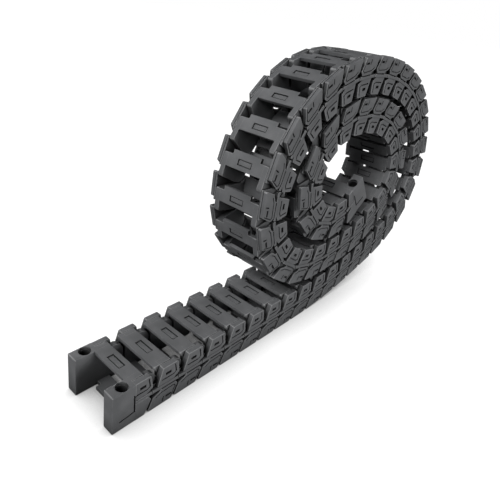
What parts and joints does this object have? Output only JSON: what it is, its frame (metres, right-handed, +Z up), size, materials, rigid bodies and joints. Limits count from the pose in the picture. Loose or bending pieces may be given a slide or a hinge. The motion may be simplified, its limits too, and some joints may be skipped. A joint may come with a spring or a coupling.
{
  "type": "cable drag chain",
  "caption": "Hinged plastic link chain that guides cables between a fixed and a moving machine part, with a screw-on bracket at each end.",
  "frame": {"origin": "midway between the fork bracket's two screw holes, at the level of its underside", "axes": "+X along the straight run from the fork bracket to the coil, +Y across the chain, +Z up, out of the top mouths of the fork's screw holes"},
  "size_m": [0.2926, 0.037, 0.163],
  "materials": {
    "chain_plastic": "matte moulded nylon with a slight sheen"
  },
  "bodies": {
    "fork_bracket": {"fork_bracket": "chain_plastic"},
    "link_01": {"link_01": "chain_plastic"},
    "link_02": {"link_02": "chain_plastic"},
    "link_03": {"link_03": "chain_plastic"},
    "link_04": {"link_04": "chain_plastic"},
    "link_05": {"link_05": "chain_plastic"},
    "link_06": {"link_06": "chain_plastic"},
    "link_07": {"link_07": "chain_plastic"},
    "link_08": {"link_08": "chain_plastic"},
    "link_09": {"link_09": "chain_plastic"},
    "link_10": {"link_10": "chain_plastic"},
    "link_11": {"link_11": "chain_plastic"},
    "link_12": {"link_12": "chain_plastic"},
    "link_13": {"link_13": "chain_plastic"},
    "link_14": {"link_14": "chain_plastic"},
    "link_15": {"link_15": "chain_plastic"},
    "link_16": {"link_16": "chain_plastic"},
    "link_17": {"link_17": "chain_plastic"},
    "link_18": {"link_18": "chain_plastic"},
    "link_19": {"link_19": "chain_plastic"},
    "link_20": {"link_20": "chain_plastic"},
    "link_21": {"link_21": "chain_plastic"},
    "link_22": {"link_22": "chain_plastic"},
    "link_23": {"link_23": "chain_plastic"},
    "link_24": {"link_24": "chain_plastic"},
    "link_25": {"link_25": "chain_plastic"},
    "link_26": {"link_26": "chain_plastic"},
    "link_27": {"link_27": "chain_plastic"},
    "link_28": {"link_28": "chain_plastic"},
    "link_29": {"link_29": "chain_plastic"},
    "link_30": {"link_30": "chain_plastic"},
    "link_31": {"link_31": "chain_plastic"},
    "link_32": {"link_32": "chain_plastic"},
    "link_33": {"link_33": "chain_plastic"},
    "link_34": {"link_34": "chain_plastic"},
    "link_35": {"link_35": "chain_plastic"},
    "link_36": {"link_36": "chain_plastic"},
    "link_37": {"link_37": "chain_plastic"},
    "link_38": {"link_38": "chain_plastic"},
    "link_39": {"link_39": "chain_plastic"},
    "link_40": {"link_40": "chain_plastic"},
    "link_41": {"link_41": "chain_plastic"},
    "link_42": {"link_42": "chain_plastic"},
    "link_43": {"link_43": "chain_plastic"},
    "link_44": {"link_44": "chain_plastic"},
    "link_45": {"link_45": "chain_plastic"},
    "link_46": {"link_46": "chain_plastic"},
    "link_47": {"link_47": "chain_plastic"},
    "link_48": {"link_48": "chain_plastic"},
    "link_49": {"link_49": "chain_plastic"},
    "link_50": {"link_50": "chain_plastic"},
    "link_51": {"link_51": "chain_plastic"},
    "link_52": {"link_52": "chain_plastic"},
    "link_53": {"link_53": "chain_plastic"},
    "link_54": {"link_54": "chain_plastic"},
    "link_55": {"link_55": "chain_plastic"},
    "link_56": {"link_56": "chain_plastic"},
    "link_57": {"link_57": "chain_plastic"},
    "end_bracket": {"end_bracket": "chain_plastic"}
  },
  "joints": [
    {"name": "hinge_01", "type": "hinge", "parent": "fork_bracket", "child": "link_01", "pos_m": [0.0153, 0, 0.0124], "axis": [0, -1, 0], "range_deg": [0, 33]},
    {"name": "hinge_02", "type": "hinge", "parent": "link_01", "child": "link_02", "pos_m": [0.0318, 0, 0.0124], "axis": [0, -1, 0], "range_deg": [0, 33]},
    {"name": "hinge_03", "type": "hinge", "parent": "link_02", "child": "link_03", "pos_m": [0.0483, 0, 0.0124], "axis": [0, -1, 0], "range_deg": [0, 33]},
    {"name": "hinge_04", "type": "hinge", "parent": "link_03", "child": "link_04", "pos_m": [0.0648, 0, 0.0124], "axis": [0, -1, 0], "range_deg": [0, 33]},
    {"name": "hinge_05", "type": "hinge", "parent": "link_04", "child": "link_05", "pos_m": [0.0813, 0, 0.0124], "axis": [0, -1, 0], "range_deg": [0, 33]},
    {"name": "hinge_06", "type": "hinge", "parent": "link_05", "child": "link_06", "pos_m": [0.0978, 0, 0.0124], "axis": [0, -1, 0], "range_deg": [0, 33]},
    {"name": "hinge_07", "type": "hinge", "parent": "link_06", "child": "link_07", "pos_m": [0.1143, 0, 0.0124], "axis": [0, -1, 0], "range_deg": [0, 33]},
    {"name": "hinge_08", "type": "hinge", "parent": "link_07", "child": "link_08", "pos_m": [0.1308, 0, 0.0124], "axis": [0, 1, 0], "range_deg": [-29, 1.5]},
    {"name": "hinge_09", "type": "hinge", "parent": "link_08", "child": "link_09", "pos_m": [0.14729, 0, 0.01283], "axis": [0, 1, 0], "range_deg": [0, 2.6]},
    {"name": "hinge_10", "type": "hinge", "parent": "link_09", "child": "link_10", "pos_m": [0.16375, 0, 0.01401], "axis": [0, 1, 0], "range_deg": [0, 3.7]},
    {"name": "hinge_11", "type": "hinge", "parent": "link_10", "child": "link_11", "pos_m": [0.1801, 0, 0.01625], "axis": [0, 1, 0], "range_deg": [0, 3.07]},
    {"name": "hinge_12", "type": "hinge", "parent": "link_11", "child": "link_12", "pos_m": [0.1963, 0, 0.01936], "axis": [0, 1, 0], "range_deg": [0, 1.82]},
    {"name": "hinge_13", "type": "hinge", "parent": "link_12", "child": "link_13", "pos_m": [0.2124, 0, 0.02299], "axis": [0, 1, 0], "range_deg": [0, 1.2]},
    {"name": "hinge_14", "type": "hinge", "parent": "link_13", "child": "link_14", "pos_m": [0.22842, 0, 0.02696], "axis": [0, 1, 0], "range_deg": [0, 5.55]},
    {"name": "hinge_15", "type": "hinge", "parent": "link_14", "child": "link_15", "pos_m": [0.24397, 0, 0.03245], "axis": [0, 1, 0], "range_deg": [0, 14.25]},
    {"name": "hinge_16", "type": "hinge", "parent": "link_15", "child": "link_16", "pos_m": [0.2577, 0, 0.0416], "axis": [0, 1, 0], "range_deg": [0, 18.6]},
    {"name": "hinge_17", "type": "hinge", "parent": "link_16", "child": "link_17", "pos_m": [0.26779, 0, 0.05466], "axis": [0, 1, 0], "range_deg": [0, 19.95]},
    {"name": "hinge_18", "type": "hinge", "parent": "link_17", "child": "link_18", "pos_m": [0.27282, 0, 0.07037], "axis": [0, 1, 0], "range_deg": [0, 21.3]},
    {"name": "hinge_19", "type": "hinge", "parent": "link_18", "child": "link_19", "pos_m": [0.2718, 0, 0.08684], "axis": [0, 1, 0], "range_deg": [0, 18.67]},
    {"name": "hinge_20", "type": "hinge", "parent": "link_19", "child": "link_20", "pos_m": [0.26556, 0, 0.10212], "axis": [0, 1, 0], "range_deg": [0, 13.42]},
    {"name": "hinge_21", "type": "hinge", "parent": "link_20", "child": "link_21", "pos_m": [0.25594, 0, 0.11552], "axis": [0, 1, 0], "range_deg": [0, 10.8]},
    {"name": "hinge_22", "type": "hinge", "parent": "link_21", "child": "link_22", "pos_m": [0.24398, 0, 0.12689], "axis": [0, 1, 0], "range_deg": [0, 10.38]},
    {"name": "hinge_23", "type": "hinge", "parent": "link_22", "child": "link_23", "pos_m": [0.23017, 0, 0.13592], "axis": [0, 1, 0], "range_deg": [0, 9.31]},
    {"name": "hinge_24", "type": "hinge", "parent": "link_23", "child": "link_24", "pos_m": [0.21508, 0, 0.14259], "axis": [0, 1, 0], "range_deg": [0, 7.98]},
    {"name": "hinge_25", "type": "hinge", "parent": "link_24", "child": "link_25", "pos_m": [0.19921, 0, 0.1471], "axis": [0, 1, 0], "range_deg": [0, 6.91]},
    {"name": "hinge_26", "type": "hinge", "parent": "link_25", "child": "link_26", "pos_m": [0.18291, 0, 0.14966], "axis": [0, 1, 0], "range_deg": [0, 6.5]},
    {"name": "hinge_27", "type": "hinge", "parent": "link_26", "child": "link_27", "pos_m": [0.16642, 0, 0.15037], "axis": [0, 1, 0], "range_deg": [0, 7.55]},
    {"name": "hinge_28", "type": "hinge", "parent": "link_27", "child": "link_28", "pos_m": [0.14999, 0, 0.1489], "axis": [0, 1, 0], "range_deg": [0, 5.5]},
    {"name": "hinge_29", "type": "hinge", "parent": "link_28", "child": "link_29", "pos_m": [0.13407, 0, 0.14457], "axis": [0, 1, 0], "range_deg": [0, 2.78]},
    {"name": "hinge_30", "type": "hinge", "parent": "link_29", "child": "link_30", "pos_m": [0.11948, 0, 0.13687], "axis": [0, 1, 0], "range_deg": [0, 1.84]},
    {"name": "hinge_31", "type": "hinge", "parent": "link_30", "child": "link_31", "pos_m": [0.10713, 0, 0.12592], "axis": [0, 1, 0], "range_deg": [0, 1.4]},
    {"name": "hinge_32", "type": "hinge", "parent": "link_31", "child": "link_32", "pos_m": [0.09802, 0, 0.11216], "axis": [0, 1, 0], "range_deg": [0, 1.18]},
    {"name": "hinge_33", "type": "hinge", "parent": "link_32", "child": "link_33", "pos_m": [0.09312, 0, 0.09641], "axis": [0, 1, 0], "range_deg": [0, 1.06]},
    {"name": "hinge_34", "type": "hinge", "parent": "link_33", "child": "link_34", "pos_m": [0.09299, 0, 0.07991], "axis": [0, 1, 0], "range_deg": [0, 1.03]},
    {"name": "hinge_35", "type": "hinge", "parent": "link_34", "child": "link_35", "pos_m": [0.09811, 0, 0.06422], "axis": [0, 1, 0], "range_deg": [0, 1.06]},
    {"name": "hinge_36", "type": "hinge", "parent": "link_35", "child": "link_36", "pos_m": [0.10832, 0, 0.05126], "axis": [0, 1, 0], "range_deg": [0, 1.15]},
    {"name": "hinge_37", "type": "hinge", "parent": "link_36", "child": "link_37", "pos_m": [0.12246, 0, 0.04276], "axis": [0, 1, 0], "range_deg": [0, 1.37]},
    {"name": "hinge_38", "type": "hinge", "parent": "link_37", "child": "link_38", "pos_m": [0.13855, 0, 0.03909], "axis": [0, 1, 0], "range_deg": [0, 1.78]},
    {"name": "hinge_39", "type": "hinge", "parent": "link_38", "child": "link_39", "pos_m": [0.15504, 0, 0.03877], "axis": [0, 1, 0], "range_deg": [0, 2.62]},
    {"name": "hinge_40", "type": "hinge", "parent": "link_39", "child": "link_40", "pos_m": [0.1715, 0, 0.04], "axis": [0, 1, 0], "range_deg": [0, 2.7]},
    {"name": "hinge_41", "type": "hinge", "parent": "link_40", "child": "link_41", "pos_m": [0.18788, 0, 0.04199], "axis": [0, 1, 0], "range_deg": [0, 1.5]},
    {"name": "hinge_42", "type": "hinge", "parent": "link_41", "child": "link_42", "pos_m": [0.20381, 0, 0.04626], "axis": [0, 1, 0], "range_deg": [0, 0.87]},
    {"name": "hinge_43", "type": "hinge", "parent": "link_42", "child": "link_43", "pos_m": [0.21833, 0, 0.05411], "axis": [0, 1, 0], "range_deg": [0, 0.62]},
    {"name": "hinge_44", "type": "hinge", "parent": "link_43", "child": "link_44", "pos_m": [0.22975, 0, 0.06602], "axis": [0, 1, 0], "range_deg": [0, 0.5]},
    {"name": "hinge_45", "type": "hinge", "parent": "link_44", "child": "link_45", "pos_m": [0.23463, 0, 0.08178], "axis": [0, 1, 0], "range_deg": [0, 0.46]},
    {"name": "hinge_46", "type": "hinge", "parent": "link_45", "child": "link_46", "pos_m": [0.23069, 0, 0.09781], "axis": [0, 1, 0], "range_deg": [0, 0.46]},
    {"name": "hinge_47", "type": "hinge", "parent": "link_46", "child": "link_47", "pos_m": [0.22001, 0, 0.11038], "axis": [0, 1, 0], "range_deg": [0, 0.56]},
    {"name": "hinge_48", "type": "hinge", "parent": "link_47", "child": "link_48", "pos_m": [0.20602, 0, 0.11912], "axis": [0, 1, 0], "range_deg": [0, 0.68]},
    {"name": "hinge_49", "type": "hinge", "parent": "link_48", "child": "link_49", "pos_m": [0.1904, 0, 0.12444], "axis": [0, 1, 0], "range_deg": [0, 1.03]},
    {"name": "hinge_50", "type": "hinge", "parent": "link_49", "child": "link_50", "pos_m": [0.17406, 0, 0.12674], "axis": [0, 1, 0], "range_deg": [0, 1.93]},
    {"name": "hinge_51", "type": "hinge", "parent": "link_50", "child": "link_51", "pos_m": [0.15756, 0, 0.12662], "axis": [0, 1, 0], "range_deg": [-14.11, 1.38]},
    {"name": "hinge_52", "type": "hinge", "parent": "link_51", "child": "link_52", "pos_m": [0.14176, 0, 0.12185], "axis": [0, 1, 0], "range_deg": [-7.31, 3.67]},
    {"name": "hinge_53", "type": "hinge", "parent": "link_52", "child": "link_53", "pos_m": [0.12935, 0, 0.11099], "axis": [0, 1, 0], "range_deg": [-3.65, 1.53]},
    {"name": "hinge_54", "type": "hinge", "parent": "link_53", "child": "link_54", "pos_m": [0.12368, 0, 0.09549], "axis": [0, 1, 0], "range_deg": [0, 1.2]},
    {"name": "hinge_55", "type": "hinge", "parent": "link_54", "child": "link_55", "pos_m": [0.12736, 0, 0.07941], "axis": [0, 1, 0], "range_deg": [-0.87, 1.35]},
    {"name": "hinge_56", "type": "hinge", "parent": "link_55", "child": "link_56", "pos_m": [0.139, 0, 0.06771], "axis": [0, 1, 0], "range_deg": [-2.97, 2.28]},
    {"name": "hinge_57", "type": "hinge", "parent": "link_56", "child": "link_57", "pos_m": [0.15489, 0, 0.06327], "axis": [0, 1, 0], "range_deg": [-5.07, 4.2]},
    {"name": "hinge_58", "type": "hinge", "parent": "link_57", "child": "end_bracket", "pos_m": [0.17107, 0, 0.06653], "axis": [0, 1, 0], "range_deg": [-5.95, 7.8]}
  ]
}
